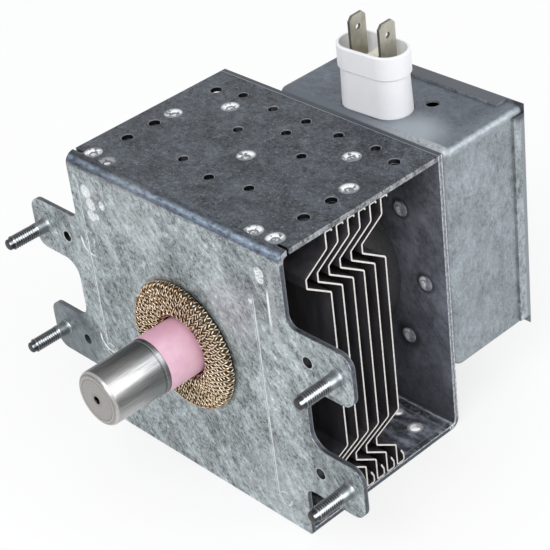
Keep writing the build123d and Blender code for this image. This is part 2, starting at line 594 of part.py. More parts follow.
def connector_housing():
    """White housing: a tapered stadium cup with a wider rim, open below for the blades' base."""
    rim = PLUG_HALF_LONG + PLUG_RIM, PLUG_HALF_WIDE + PLUG_RIM
    top, floor = BOX_TOP + PLUG_TOP, BOX_TOP + PLUG_TOP - PLUG_FLOOR
    head = stadium(*rim, BOX_TOP + PLUG_STEP, top)
    ends = head.faces().sort_by(Axis.Z)
    head = chamfer(ends[0].edges() + ends[-1].edges(), PLUG_EDGE)
    cup = stadium(PLUG_HALF_LONG, PLUG_HALF_WIDE, PLUG_BASE, BOX_TOP)
    cup += stadium(PLUG_HALF_LONG, PLUG_HALF_WIDE, BOX_TOP, BOX_TOP + PLUG_STEP, PLUG_TAPER)
    cup += head
    cup -= stadium(rim[0] - PLUG_WALL, rim[1] - PLUG_WALL, floor, top + PAST)
    return cup - stadium(CORE_LONG, CORE_WIDE, PLUG_BASE - PAST, floor + PAST)


def terminal_insulator():
    """Pale cast base inside the cup, with the bar that parts the two blades."""
    floor = BOX_TOP + PLUG_TOP - PLUG_FLOOR
    base = stadium(CORE_LONG, CORE_WIDE, PLUG_BASE, floor)
    bar = Box(2 * BAR_HALF, 2 * CORE_WIDE - BAR_EASE, BAR_RISE, align=(Align.CENTER, Align.CENTER, Align.MIN))
    base += PLUG * Pos(0, 0, floor) * bar
    for side in (-1, 1):
        base -= blade(side)
    return base


def blade(side):
    """One flat blade, its top corners cut, from the box's top wall up."""
    high = BOX_TOP + BLADE_RISE
    outline = Pos(0, (PLUG_BASE + high) / 2) * Rectangle(BLADE_WIDE, high - PLUG_BASE)
    top = outline.vertices().group_by(Axis.Y)[-1]
    outline = chamfer(top, BLADE_CORNER)
    outline -= Pos(0, high - BLADE_HOLE_DROP) * Circle(BLADE_HOLE)
    plate = extrude(Plane.YZ * outline, BLADE_THICK / 2, both=True)
    return PLUG * Pos(side * BLADE_SPACING / 2, 0, 0) * plate


def tail_place(side):
    """Where a blade's tail stands over the box, in X and Y."""
    place = (PLUG * Pos(side * BLADE_SPACING / 2, 0, 0)).position
    return place.X, place.Y


def tail(side, radius, high):
    """A round bar or way under one blade, from the tail's low end up."""
    return rod(radius, (*tail_place(side), TAIL_LOW), (*tail_place(side), high))


def with_tail_holes(block, radius):
    """The block with a round way through it for each blade's tail."""
    return block - [tail(side, radius, PLUG_BASE + PAST) for side in (-1, 1)]


def connector_parts():
    """Connector and feed-through capacitor."""
    save(connector_housing(), "connector_housing")
    save(terminal_insulator(), "terminal_insulator")
    for number, side in ((1, -1), (2, 1)):
        save(blade(side) + tail(side, TAIL_RADIUS, PLUG_BASE), f"terminal_{number}")
    plate = stadium(PLATE_HALF_LONG, PLATE_HALF_WIDE, PLATE_LOW, PLUG_BASE)
    save(with_tail_holes(plate, TAIL_RADIUS + TAIL_EASE), "earth_plate")
    ceramic = stadium(PLUG_HALF_LONG - CASE_WALL, PLUG_HALF_WIDE - CASE_WALL, CERAMIC_LOW, PLATE_LOW)
    save(with_tail_holes(ceramic, TAIL_RADIUS), "capacitor_ceramic")
    case = stadium(PLUG_HALF_LONG, PLUG_HALF_WIDE, CASE_LOW, PLATE_LOW) - ceramic
    save(with_tail_holes(case, TAIL_RADIUS), "capacitor_case")


def choke_parts():
    """Two choke coils between the stem's leads and the connector's tails, each on a ferrite core."""
    coil_y = CHOKE_Y - CHOKE_RADIUS
    coil_top = CHOKE_FOOT + CHOKE_TURNS * CHOKE_PITCH
    for number, side in ((1, -1), (2, 1)):
        x, tail_y = tail_place(side)
        lead_x = side * LEAD_OFFSET
        coil = Pos(x, CHOKE_Y, CHOKE_FOOT) * coil_of(CHOKE_RADIUS, CHOKE_PITCH, CHOKE_TURNS, CHOKE_WIRE)
        wire = CHOKE_WIRE / 2
        coil += bent_rod(wire, [(lead_x, LEAD_END, AXIS_Z), (lead_x, coil_y, AXIS_Z),
                                (x, coil_y, CHOKE_FOOT - CHOKE_BEND), (x, coil_y, CHOKE_FOOT)])
        coil += bent_rod(wire, [(x, coil_y, coil_top), (x, coil_y, coil_top + CHOKE_TIP),
                                (x, tail_y, TAIL_LOW - CHOKE_STUB), (x, tail_y, TAIL_LOW)])
        save(coil, f"choke_coil_{number}")
        middle = (CHOKE_FOOT + coil_top) / 2
        save(rod(CORE_RADIUS, (x, CHOKE_Y, middle - CORE_LENGTH / 2), (x, CHOKE_Y, middle + CORE_LENGTH / 2)),
             f"choke_core_{number}")


def main():
    os.makedirs("parts", exist_ok=True)
    yoke_parts()
    anode_parts()
    antenna_parts()
    cathode_parts()
    save(filter_box(), "filter_box")
    save(filter_lid(), "filter_lid")
    save(box_rivets(), "box_rivets")
    connector_parts()
    choke_parts()


main()
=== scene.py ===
import math

import bpy
from mathutils import Matrix, Vector

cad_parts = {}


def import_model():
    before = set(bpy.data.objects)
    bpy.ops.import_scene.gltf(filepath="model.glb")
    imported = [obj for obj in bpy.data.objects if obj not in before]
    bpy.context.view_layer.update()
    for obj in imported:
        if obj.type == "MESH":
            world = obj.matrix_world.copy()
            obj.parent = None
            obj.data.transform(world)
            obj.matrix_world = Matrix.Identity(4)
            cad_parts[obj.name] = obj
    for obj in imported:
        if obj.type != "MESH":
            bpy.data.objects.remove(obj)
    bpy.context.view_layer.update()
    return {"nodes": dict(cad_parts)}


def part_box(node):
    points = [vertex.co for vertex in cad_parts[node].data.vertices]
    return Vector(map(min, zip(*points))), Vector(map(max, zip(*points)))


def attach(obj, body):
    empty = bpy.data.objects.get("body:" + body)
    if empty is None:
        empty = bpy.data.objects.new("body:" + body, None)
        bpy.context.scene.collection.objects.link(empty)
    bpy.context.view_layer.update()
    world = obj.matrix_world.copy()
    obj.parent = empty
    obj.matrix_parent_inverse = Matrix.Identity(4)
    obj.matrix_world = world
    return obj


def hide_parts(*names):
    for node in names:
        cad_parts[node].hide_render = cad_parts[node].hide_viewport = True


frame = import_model()
NODES = frame["nodes"]
MM = 0.001


def node_corners(node):
    """The lowest and highest corner of a CAD node, in millimetres."""
    return [[round(value / MM, 3) for value in corner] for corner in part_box(node)]


# Measures that looks and mesh pieces refer to, in millimetres, worked out from the frame
front_high = node_corners("yoke_front")[1]
rear_low, rear_high = node_corners("yoke_rear")
gasket_low, gasket_high = node_corners("rf_gasket")
BACK = front_high[1]            # inner face of the back wall
SHEET = rear_high[1] - BACK     # thickness of the yoke's walls
HALF_WIDTH = rear_high[0]       # from the yoke's middle to its sides
TOP, BOTTOM = rear_high[2], rear_low[2]
FLOOR = BOTTOM + SHEET          # inner face of the bottom wall
AXIS_Z = (gasket_low[2] + gasket_high[2]) / 2

# Places that no box gives
STUD_X, STUD_Z = 55.9, 17.2     # the studs' places to either side
SCREW_X = 46.2                  # small holes in the ears, level with the studs
# X and Z of the rivets in the back wall
RIVETS = ((25.4, 24.5), (32.6, 4.0), (25.1, -16.0), (-12.4, 32.0))
# X and Y of the bottom wall's holes that show beside the fins, and of their mirror images, and
# the radius that their painted highlight rims are painted round, a little past the holes' own
LOWER_HOLES = [(side * x, y, radius) for side in (-1, 1)
               for x, y, radius in ((32.9, 47.4, 1.9), (24.5, 49.6, 1.5))]

# The dressed gasket: a flat face between two round edges, just off the front wall. Its base
# stays inside the solid's rim by a margin that the wires fill.
GASKET_MARGIN = 0.5
GASKET_OUTER, GASKET_INNER = gasket_high[0] - GASKET_MARGIN, 8.85
GASKET_BEND = 1.1               # radius of the round edges
GASKET_GAP = 0.05               # from the wall
GASKET_FACE = GASKET_OUTER - GASKET_INNER - 2 * GASKET_BEND
GASKET_WAY = 2 * math.pi * GASKET_BEND + GASKET_FACE    # over the face and both edges

# Tones that are used more than once; the top, dark and hole shades are painted shade
TOP_SHADE = (0.070, 0.081, 0.097)
DARK_SHADE = (0.085, 0.082, 0.090)
EDGE = (0.300, 0.315, 0.328)
HOLE_SHADE = (0.012, 0.012, 0.014)
WHITE = (1.0, 1.0, 1.0)


class Nodes:
    """A node tree under construction. An input is a socket to link, or a plain value."""

    def __init__(self, tree):
        self.tree = tree

    def feed(self, socket, value):
        if isinstance(value, bpy.types.NodeSocket):
            self.tree.links.new(value, socket)
            return
        if isinstance(value, tuple) and socket.type == "RGBA":
            value = (*value, 1.0)
        socket.default_value = value

    def node(self, kind, **props):
        made = self.tree.nodes.new(kind)
        for key, value in props.items():
            setattr(made, key, value)
        return made

    def vector(self, op, a, b=None, scale=None):
        made = self.node("ShaderNodeVectorMath", operation=op)
        self.feed(made.inputs[0], a)
        if b is not None:
            self.feed(made.inputs[1], b)
        if scale is not None:
            self.feed(made.inputs["Scale"], scale)
        return made.outputs[0]

    def split(self, vector):
        made = self.node("ShaderNodeSeparateXYZ")
        self.feed(made.inputs[0], vector)
        return tuple(made.outputs)

    def math(self, op, a, b=0.0):
        made = self.node("ShaderNodeMath", operation=op)
        self.feed(made.inputs[0], a)
        self.feed(made.inputs[1], b)
        return made.outputs[0]

    def chain(self, op, values):
        total = values[0]
        for value in values[1:]:
            total = self.math(op, total, value)
        return total

    def times(self, *values):
        return self.chain("MULTIPLY", values)

    def plus(self, *values):
        return self.chain("ADD", values)

    def most(self, *values):
        return self.chain("MAXIMUM", values)

    def minus(self, a, b):
        return self.math("SUBTRACT", a, b)

    def over(self, a, b):
        return self.math("DIVIDE", a, b)

    def size(self, a):
        """The value without its sign."""
        return self.math("ABSOLUTE", a)

    def length(self, *sides):
        """The root of the sum of squares."""
        return self.math("SQRT", self.plus(*[self.times(side, side) for side in sides]))

    def distance(self, parts, middle):
        """How far coordinates are from a point; a coordinate of None is free."""
        return self.length(*[self.minus(part, at) for part, at in zip(parts, middle)
                             if at is not None])

    def turned(self, rise, run):
        """The angle of a direction as a share of a turn, from 0 at the left."""
        return self.math("FRACT", self.plus(self.over(self.math("ARCTAN2", rise, run),
                                                      2 * math.pi), 0.5))

    def mask(self, value, low, high):
        """0 at low, 1 at high, smooth between."""
        made = self.node("ShaderNodeMapRange", interpolation_type="SMOOTHSTEP")
        for key, number in (("Value", value), ("From Min", low), ("From Max", high)):
            self.feed(made.inputs[key], number)
        return made.outputs[0]

    def band(self, value, low, high, soft):
        """1 between low and high."""
        return self.times(self.mask(value, low - soft, low + soft),
                          self.mask(value, high + soft, high - soft))

    def ramp(self, value, *stops):
        """A tone for each stop, grey where the tone is one number."""
        made = self.node("ShaderNodeValToRGB")
        self.feed(made.inputs[0], value)
        points = made.color_ramp.elements
        while len(points) < len(stops):
            points.new(1.0)
        for point, (where, tone) in zip(points, stops):
            point.position = where
            point.color = (tone, tone, tone, 1) if isinstance(tone, float) else (*tone, 1)
        return made.outputs[0]

    def mix(self, amount, a, b, blend="MIX"):
        made = self.node("ShaderNodeMix", data_type="RGBA", blend_type=blend)
        self.feed(made.inputs[0], amount)
        self.feed(made.inputs[6], a)
        self.feed(made.inputs[7], b)
        return made.outputs[2]

    def product(self, a, b):
        return self.mix(1.0, a, b, "MULTIPLY")

    def seen(self):
        """1 for the camera's rays, also those that metal mirrors or glass lets through."""
        rays = self.node("ShaderNodeLightPath").outputs
        return self.most(rays["Is Camera Ray"], rays["Is Transmission Ray"], rays["Is Glossy Ray"])


class Look(Nodes):
    """A material: x, y, z are the place in millimetres, nx, ny, nz the normal, base the colour."""

    def __init__(self, name, **fixed):
        self.material = bpy.data.materials.new(name)
        self.material.use_nodes = True
        super().__init__(self.material.node_tree)
        self.shader = self.tree.nodes["Principled BSDF"]
        for key, value in fixed.items():
            self.shader.inputs[key.capitalize()].default_value = value
        self.place = self.vector("SCALE", self.node("ShaderNodeTexCoord").outputs["Object"],
                                 scale=1 / MM)
        self.x, self.y, self.z = self.split(self.place)
        self.nx, self.ny, self.nz = self.split(self.node("ShaderNodeNewGeometry").outputs["Normal"])

    def spot(self, middle, near, far):
        """1 within near of a point, 0 beyond far; a coordinate of None is free."""
        return self.mask(self.distance((self.x, self.y, self.z), middle), far, near)

    def from_axis(self):
        """How far the place is from the antenna's axis."""
        return self.distance((self.x, self.y, self.z), (0.0, None, AXIS_Z))

    def noise(self, scale, detail=4.0, roughness=0.55, distortion=0.0, turn=(0, 0, 0)):
        """Noise with one scale, or with one for each axis of the place turned by degrees."""
        place = self.place
        if isinstance(scale, tuple):
            rotate = self.node("ShaderNodeVectorRotate", rotation_type="EULER_XYZ")
            self.feed(rotate.inputs["Vector"], place)
            rotate.inputs["Rotation"].default_value = [math.radians(a) for a in turn]
            place, scale = self.vector("MULTIPLY", rotate.outputs[0], scale), 1.0
        made = self.node("ShaderNodeTexNoise")
        for key, value in (("Vector", place), ("Scale", scale), ("Detail", detail),
                           ("Roughness", roughness), ("Distortion", distortion)):
            self.feed(made.inputs[key], value)
        return made.outputs[0]

    def paint(self, amount, tone):
        """Lay a tone over the colour."""
        self.base = self.mix(amount, self.base, tone)

    def shade(self, *factors):
        """Multiply the colour by each factor."""
        for factor in factors:
            self.base = self.product(self.base, factor)

    def rough(self, value, low, high):
        made = self.node("ShaderNodeMapRange")
        for key, number in (("Value", value), ("To Min", low), ("To Max", high)):
            self.feed(made.inputs[key], number)
        self.feed(self.shader.inputs["Roughness"], made.outputs[0])

    def bump(self, height, strength, depth):
        """Relief of a depth in millimetres."""
        made = self.node("ShaderNodeBump")
        for key, value in (("Strength", strength), ("Distance", depth * MM), ("Height", height)):
            self.feed(made.inputs[key], value)
        self.feed(self.shader.inputs["Normal"], made.outputs[0])

    def finished(self):
        self.feed(self.shader.inputs["Base Color"], self.base)
        return self.material


# Zinc-coated sheets

def zinc_grain(look, turn, strength):
    """Mottle the colour with galvanised grain: specks gathered in patches, streaks and clouds."""
    def grain(noise, *stops):
        return look.ramp(noise, *((where, 1.0 + share * strength) for where, share in stops))

    streak = look.noise((0.88, 0.88, 0.50), 5.0, 0.72, 0.5, turn)
    patch = look.noise((0.15, 0.15, 0.09), 3.0, 0.6, 0.8, turn)
    speck = look.noise((1.25, 1.25, 0.85), 4.0, 0.72, 0.3, turn)
    blot = look.noise((0.52, 0.52, 0.36), 5.0, 0.72, 0.4, turn)
    fine = look.noise(3.0, 2.0, 0.6)
    cloud = look.noise(0.05, 3.0, 0.5)
    specks = grain(speck, (0.33, -0.75), (0.41, -0.50), (0.47, 0.0), (0.57, 0.0), (0.67, 0.40))
    gather = look.ramp(patch, (0.40, 1.0), (0.49, 0.75), (0.58, 0.18))
    look.shade(look.mix(gather, WHITE, specks),
               grain(streak, (0.34, -0.36), (0.45, -0.08), (0.54, 0.05), (0.66, 0.34)),
               grain(patch, (0.36, -0.22), (0.50, 0.0), (0.64, 0.22)),
               grain(fine, (0.34, -0.26), (0.47, 0.0), (0.56, 0.0), (0.68, 0.28)),
               grain(blot, (0.36, -0.42), (0.46, 0.0), (0.55, 0.0), (0.65, 0.32)),
               look.ramp(cloud, (0.3, 0.88), (0.7, 1.12)))
    return streak


def zinc(name, tones, turn, strength, extra):
    """Zinc-coated sheet with light and shade painted by facing: dark tops, dark inner faces. Tones
    are for the faces to -Y, +Y, +Z, -Z and for the sides.
    """
    look = Look(name, metallic=0.62)
    look.base = tones["side"]
    # Painted light and shade: each facing gets its own tone
    for key, facing, way in (("front", look.ny, -1), ("back", look.ny, 1),
                             ("under", look.nz, -1), ("top", look.nz, 1)):
        look.paint(look.mask(look.times(facing, way), 0.42, 0.93), tones[key])
    streak = zinc_grain(look, turn, strength)
    extra(look)
    look.rough(streak, 0.36, 0.60)
    look.bump(streak, 0.25, 0.05)
    return look.finished()


def stamped(look, outside, up):
    """Painted shade on hole walls, rims painted pale on one side and dark on the other, and painted
    highlights on coned pressings with painted shade round their floor.

    outside is the level of a wall's outer face; up is 1 for the top wall and -1 for the bottom.
    """
    slope = look.times(look.nz, up)
    under = look.times(look.minus(look.z, outside), -up)
    inside = look.times(look.mask(under, SHEET - 0.05, SHEET - 0.10),
                        look.band(look.y, SHEET + 1.7, BACK - 1.7, 0.1),
                        look.mask(look.size(look.x), HALF_WIDTH - 0.4, HALF_WIDTH - 0.6))
    look.paint(look.times(inside, look.mask(look.size(slope), 0.35, 0.20)), HOLE_SHADE)
    # Painted light and shade: the rims are paler on one side than the other
    toward = look.minus(look.times(look.nx, 0.77), look.times(look.ny, 0.64))
    rim = look.mix(look.mask(toward, -0.2, 0.2), (0.44, 0.46, 0.49), (0.15, 0.162, 0.18))
    look.paint(look.times(inside, look.band(slope, 0.62, 0.80, 0.03)), rim)
    # Painted highlights on the cones and painted shade round their floor, made patchy
    patchy_sheen = look.noise(0.9, 2.0)
    shine = look.ramp(under, (0.02, (0.20, 0.21, 0.23)), (0.20, (0.80, 0.81, 0.83)),
                      (0.42, (0.97, 0.98, 0.99)), (0.50, (0.40, 0.41, 0.43)),
                      (0.565, (0.05, 0.05, 0.06)))
    shine = look.mix(look.mask(toward, -0.22, 0.06), (0.24, 0.26, 0.285), shine)
    shine = look.mix(look.mask(patchy_sheen, 0.62, 0.52), (0.19, 0.205, 0.225), shine)
    look.paint(look.times(inside, look.band(slope, 0.90, 0.985, 0.008)), shine)
    # The pressing beside the left corner's is dull: painted in the top's painted shade, without a
    # painted highlight
    look.paint(look.times(look.spot((-27.5, 4.7, None), 2.4, 2.9), inside, 0.7), TOP_SHADE)
    level = look.times(inside, look.mask(slope, 0.985, 0.995), look.mask(under, 0.5, 0.56))
    look.paint(level, look.mix(look.mask(patchy_sheen, 0.56, 0.44), (0.22, 0.235, 0.26),
                               (0.66, 0.67, 0.69)))


def front_fold(look, blotch):
    """The blue-grey bend between front and top, with painted light and shade across it and a
    painted highlight along it, mottled, its painted highlight darker to the left and stronger to
    the right, and pale flecks on the top.
    """
    # Painted shade and a painted highlight across the bend, by its normal
    bend = look.ramp(look.nz, (0.0, (0.36, 0.39, 0.40)), (0.20, (0.26, 0.28, 0.30)),
                     (0.34, (0.085, 0.105, 0.135)), (0.50, (0.130, 0.165, 0.215)),
                     (0.66, (0.250, 0.315, 0.400)), (0.78, (0.170, 0.205, 0.255)),
                     (0.90, (0.055, 0.064, 0.078)), (1.0, TOP_SHADE))
    bend = look.product(bend, look.ramp(blotch, (0.36, 0.42), (0.50, 1.0), (0.64, 1.45)))
    across = look.plus(look.over(look.x, 2 * HALF_WIDTH), 0.5)
    bend = look.product(bend, look.ramp(across, (0.0, 0.68), (0.55, 1.0), (0.9, 1.18)))
    fleck = look.times(look.mask(look.noise(1.5, 2.0), 0.62, 0.68), look.mask(look.nz, 0.99, 1.0))
    look.paint(look.times(fleck, 0.4), (0.27, 0.30, 0.33))
    high = look.mask(look.z, TOP - 3.5, TOP - 3.1)
    look.paint(look.times(look.band(look.nz, 0.10, 0.985, 0.01), high), bend)


def front_edges(look, blotch, face):
    """The ears' backs lighter than the painted inner shade, the front wall's cut edge with a
    painted highlight on its front arris and painted shade behind it, and the small holes in the
    ears with painted shade inside and a painted highlight round their mouths.
    """
    across, facing = look.size(look.x), look.size(look.ny)
    ear = look.mask(across, HALF_WIDTH, HALF_WIDTH + 0.6)
    look.paint(look.times(ear, look.mask(look.ny, 0.5, 0.8)), (0.30, 0.33, 0.35))
    cut = look.times(look.mask(facing, 0.5, 0.3), look.mask(look.z, TOP - 2.9, TOP - 3.3),
                     look.mask(look.y, SHEET + 0.04, SHEET + 0.02))
    # A painted highlight on the front arris, painted shade across the rest of the edge
    arris = look.ramp(look.over(look.y, SHEET), (0.05, (0.52, 0.55, 0.57)),
                      (0.17, (0.15, 0.17, 0.19)), (0.36, (0.038, 0.046, 0.058)),
                      (0.74, (0.06, 0.07, 0.085)), (0.90, (0.17, 0.19, 0.21)))
    look.paint(cut, look.mix(look.mask(blotch, 0.62, 0.42), (0.11, 0.12, 0.135), arris))
    screw = look.distance((across, look.size(look.z)), (SCREW_X, STUD_Z))
    # Painted shade in the screw holes, and a painted highlight round their mouths
    look.paint(look.times(look.mask(screw, 1.75, 1.65), look.mask(facing, 0.6, 0.4)), HOLE_SHADE)
    look.paint(look.times(look.mask(screw, 2.0, 1.75), face, 0.5), (0.60, 0.63, 0.65))


def front_patches(look, blotch, face):
    """Broad soft patches of painted shade and painted light on the front wall and the ears: x, z,
    two radii, amount, tone. Then a painted highlight streak up the right side.
    """
    # Painted shade
    dark = ((-52.0, -STUD_Z, 8.0, 16.0, 0.68, (0.10, 0.12, 0.135)),
            (50.0, -19.0, 6.0, 12.0, 0.18, (0.12, 0.14, 0.155)))
    for x, z, near, far, amount, tone in dark:
        look.paint(look.times(look.spot((x, None, z), near, far), amount), tone)
    # Painted light
    light = ((30.0, -30.0, 4.0, 18.0, 0.22, (0.66, 0.70, 0.73)),
             (20.5, 23.0, 1.0, 14.0, look.ramp(blotch, (0.42, 0.08), (0.58, 0.36)),
              (0.76, 0.76, 0.82)),
             (-14.0, 36.0, 2.0, 17.0, 0.16, (0.72, 0.74, 0.76)),
             (-30.5, 35.5, 1.0, 7.5, look.ramp(blotch, (0.42, 0.05), (0.58, 0.28)),
              (0.74, 0.75, 0.79)))
    for x, z, near, far, amount, tone in light:
        look.paint(look.times(look.spot((x, None, z), near, far), face, amount), tone)
    # A painted highlight streak up the right side of the front wall
    upright = look.times(look.band(look.x, 35.2, 37.2, 0.7), look.band(look.z, 18.0, 40.0, 3.0))
    look.paint(look.times(upright, face, blotch, 0.7), (0.74, 0.77, 0.79))


def front_pressings(look, face, lit):
    """Rings and arcs of painted highlight beside the pressed lines, the arcs with painted shade
    inside them, and pressings in the upper corners with broken painted highlights and a painted
    dark rim.
    """
    rings = look.most(*[look.band(look.spot((x, None, z), 1.2, 2.6), 0.15, 0.62, 0.12)
                        for x, z in ((-35.6, 21.0), (-35.2, -16.0), (31.6, -33.2))])
    look.paint(look.times(rings, face, lit, 0.7), (0.78, 0.80, 0.82))
    for x, z in ((-35.6, 19.2), (-35.4, -12.6)):
        right, rise = look.minus(look.x, x), look.minus(look.z, z)
        out = look.length(right, rise)
        side = look.times(look.mask(look.plus(look.times(right, 0.6), look.times(rise, 0.8)),
                                    -1.2, -2.6), face)
        look.paint(look.times(look.band(out, 3.4, 4.1, 0.25), side,
                              look.plus(look.times(lit, 0.5), 0.5)), (0.92, 0.94, 0.96))
        look.paint(look.times(look.band(out, 2.7, 3.1, 0.3), side, 0.45), (0.16, 0.18, 0.20))
    corners = ((-33.5, 35.9, 1.5, 2.6), (-27.4, 33.7, 0.9, 1.6), (-32.2, 32.4, 1.4, 2.4),
               (-32.7, 28.9, 1.2, 2.2), (-30.4, 29.3, 0.6, 1.4), (32.4, 37.2, 1.3, 2.0),
               (32.5, 35.7, 1.1, 1.8), (28.0, 27.3, 0.5, 1.1))
    marks = look.most(*[look.spot((x, None, z), near, far) for x, z, near, far in corners])
    # The corner pressings: a painted dark rim, and painted highlights broken up by noise
    broken_highlight = look.mask(look.noise(2.1, 4.0, 0.7), 0.40, 0.54)
    look.paint(look.times(look.band(marks, 0.05, 0.45, 0.05), face, 0.5), (0.14, 0.16, 0.175))
    look.paint(look.times(marks, face, look.plus(look.times(broken_highlight, 0.70), 0.25)),
               (0.88, 0.90, 0.91))


def front_lines(look, face):
    """Pressed upright lines drawn as broken painted highlights, each with a line of painted shade
    beside it: x and two levels.
    """
    broken = look.ramp(look.noise((1.0, 1.0, 0.14), 3.0), (0.36, 0.45), (0.55, 1.0))
    for x, low, high in ((-36.8, -13.7, 37.5), (28.9, -33.0, 29.0), (34.6, 22.0, 33.0)):
        along = look.times(look.band(look.z, low, high, 1.5), face)
        look.paint(look.times(look.band(look.x, x - 0.4, x + 0.4, 0.2), along, broken),
                   (0.86, 0.89, 0.91))
        look.paint(look.times(look.band(look.x, x + 0.9, x + 1.7, 0.5), along, 0.30),
                   (0.20, 0.22, 0.235))


def front_extra(look):
    """What makes the front sheet more than plain zinc."""
    blotch = look.noise((0.5, 1.0, 1.0), 4.0, 0.7)
    face = look.mask(look.ny, -0.2, -0.4)
    lit = look.mask(look.noise(0.55, 2.0), 0.44, 0.56)
    front_fold(look, blotch)
    stamped(look, TOP, 1)
    front_edges(look, blotch, face)
    front_patches(look, blotch, face)
    front_pressings(look, face, lit)
    front_lines(look, face)
    # A painted shadow line and a painted highlight line round the gasket, and painted shadow under
    # it
    radius = look.from_axis()
    look.paint(look.times(look.band(radius, 18.9, 19.3, 0.2), face, 0.25), (0.16, 0.18, 0.20))
    look.paint(look.times(look.band(radius, 19.6, 19.8, 0.2), face, lit, 0.55),
               (0.70, 0.73, 0.74))
    look.paint(look.times(look.mask(radius, 18.2, 17.6), face, 0.85), (0.05, 0.045, 0.04))


def rear_floor(look, streaked_sheen):
    """The bottom wall's inner face: a broken dark row and a painted highlight line along its bend,
    smudged, a painted highlight near each side, and painted highlight rims round its holes with
    painted light in their bores.
    """
    low = look.times(look.mask(look.nz, 0.9, 0.98), look.mask(look.z, FLOOR + 0.1, FLOOR))
    row_breakup = look.mask(look.noise((0.42, 0.8, 1.0), 2.0, 0.6), 0.50, 0.44)
    look.paint(look.times(look.band(look.y, BACK - 3.3, BACK - 1.4, 0.4), row_breakup, low, 0.75),
               (0.045, 0.048, 0.06))
    smudge = look.ramp(look.noise((0.22, 0.4, 1.0), 5.0, 0.65), (0.40, 0.42), (0.50, 0.90),
                       (0.60, 1.8))
    look.paint(low, look.product(look.base, smudge))
    # A painted highlight line where the bend starts
    look.paint(look.times(look.band(look.y, BACK - 3.95, BACK - 3.65, 0.15), low, streaked_sheen, 0.8),
               (0.55, 0.58, 0.62))
    # A painted highlight near each side
    edge = look.band(look.size(look.x), HALF_WIDTH - 2.0, HALF_WIDTH - 1.6, 0.2)
    look.paint(look.times(edge, low, 0.45), (0.50, 0.54, 0.58))
    # Painted highlight rims round the holes, and painted light in their bores
    for x, y, radius in LOWER_HOLES:
        look.paint(look.times(look.spot((x, y, None), radius + 0.15, radius + 0.45), low), WHITE)
        bore = look.spot((x, y, None), radius + 0.06, radius + 0.2)
        look.paint(look.times(bore, look.mask(look.z, FLOOR + 1.2, FLOOR + 0.2)),
                   (0.75, 0.77, 0.80))


def rear_edges(look, streaked_sheen):
    """Cut edges with painted highlights on their arrises and painted shade across them, a painted
    glint at the lower back corner, the bend between back and bottom with painted shade and a
    painted highlight line, and the top edge with a painted highlight on its arris and painted shade
    behind it.
    """
    cut = look.times(look.mask(look.size(look.nx), 0.8, 0.95),
                     look.mask(look.size(look.x), HALF_WIDTH - 1.0, HALF_WIDTH - 0.1))
    through = look.over(look.most(look.minus(look.y, BACK), look.minus(FLOOR, look.z)), SHEET)
    # Painted highlights on the arrises, painted shade across the edges
    lower = look.ramp(through, (0.03, (0.62, 0.65, 0.68)), (0.16, (0.40, 0.43, 0.46)),
                      (0.30, (0.085, 0.095, 0.115)), (0.80, (0.075, 0.083, 0.10)),
                      (0.93, (0.24, 0.26, 0.28)))
    upright = look.ramp(through, (0.05, (0.62, 0.65, 0.68)), (0.18, (0.32, 0.34, 0.365)),
                        (0.44, (0.34, 0.36, 0.385)), (0.57, (0.09, 0.098, 0.112)),
                        (0.70, (0.44, 0.465, 0.49)), (0.95, (0.56, 0.59, 0.62)))
    arris = look.mix(look.mask(look.z, FLOOR + 2.2, FLOOR - 0.2), upright, lower)
    look.paint(cut, look.product(arris, look.ramp(streaked_sheen, (0.0, 0.62), (1.0, 1.15))))
    # A painted glint on the lower back corner
    corner = look.spot((HALF_WIDTH, BACK - 1.3, FLOOR - 0.4), 0.4, 1.3)
    look.paint(look.times(corner, streaked_sheen), (0.95, 0.96, 0.98))
    # Painted shade and a painted highlight line on the bend between back and bottom
    rear = look.mask(look.y, BACK - 5.7, BACK - 3.7)
    look.paint(look.times(look.band(look.nz, 0.25, 0.85, 0.1), rear), (0.11, 0.122, 0.145))
    look.paint(look.times(look.band(look.nz, 0.87, 0.982, 0.02), rear, streaked_sheen),
               (0.85, 0.88, 0.95))
    # The top edge: a painted highlight on its arris, painted shade behind it
    lip = look.ramp(look.minus(look.y, BACK), (0.16, (0.26, 0.28, 0.30)),
                    (0.34, (0.050, 0.057, 0.068)), (0.95, (0.075, 0.083, 0.095)))
    crown = look.mask(look.z, TOP - 1.1, TOP - 0.5)
    look.paint(look.times(look.mask(look.nz, 0.6, 0.9), crown), lip)


def rear_extra(look):
    """Clouded inner back wall, painted shade round the three rivets that show and deep down the
    wall, and the stamped bottom wall.
    """
    inside = look.mask(look.ny, -0.6, -0.9)
    clouding = look.noise((0.085, 0.085, 0.055), 5.0, 0.60, 0.4)
    haze = look.ramp(clouding, (0.30, 0.50), (0.50, 1.0), (0.70, 1.65))
    look.paint(inside, look.product(look.base, haze))
    # Painted shade round the rivet heads
    for (x, z), near, far in zip(RIVETS, (2.7, 2.7, 2.9), (3.6, 3.8, 5.5)):
        look.paint(look.times(look.spot((x, None, z), near, far), inside, 0.6),
                   (0.035, 0.036, 0.040))
    stamped(look, BOTTOM, -1)
    streaked_sheen = look.mask(look.noise((0.35, 2.0, 1.0), 3.0), 0.42, 0.56)
    rear_floor(look, streaked_sheen)
    # Painted shade deep down the inner back wall
    look.paint(look.times(look.mask(look.z, -12.0, -34.0), inside, 0.35), (0.05, 0.052, 0.058))
    rear_edges(look, streaked_sheen)


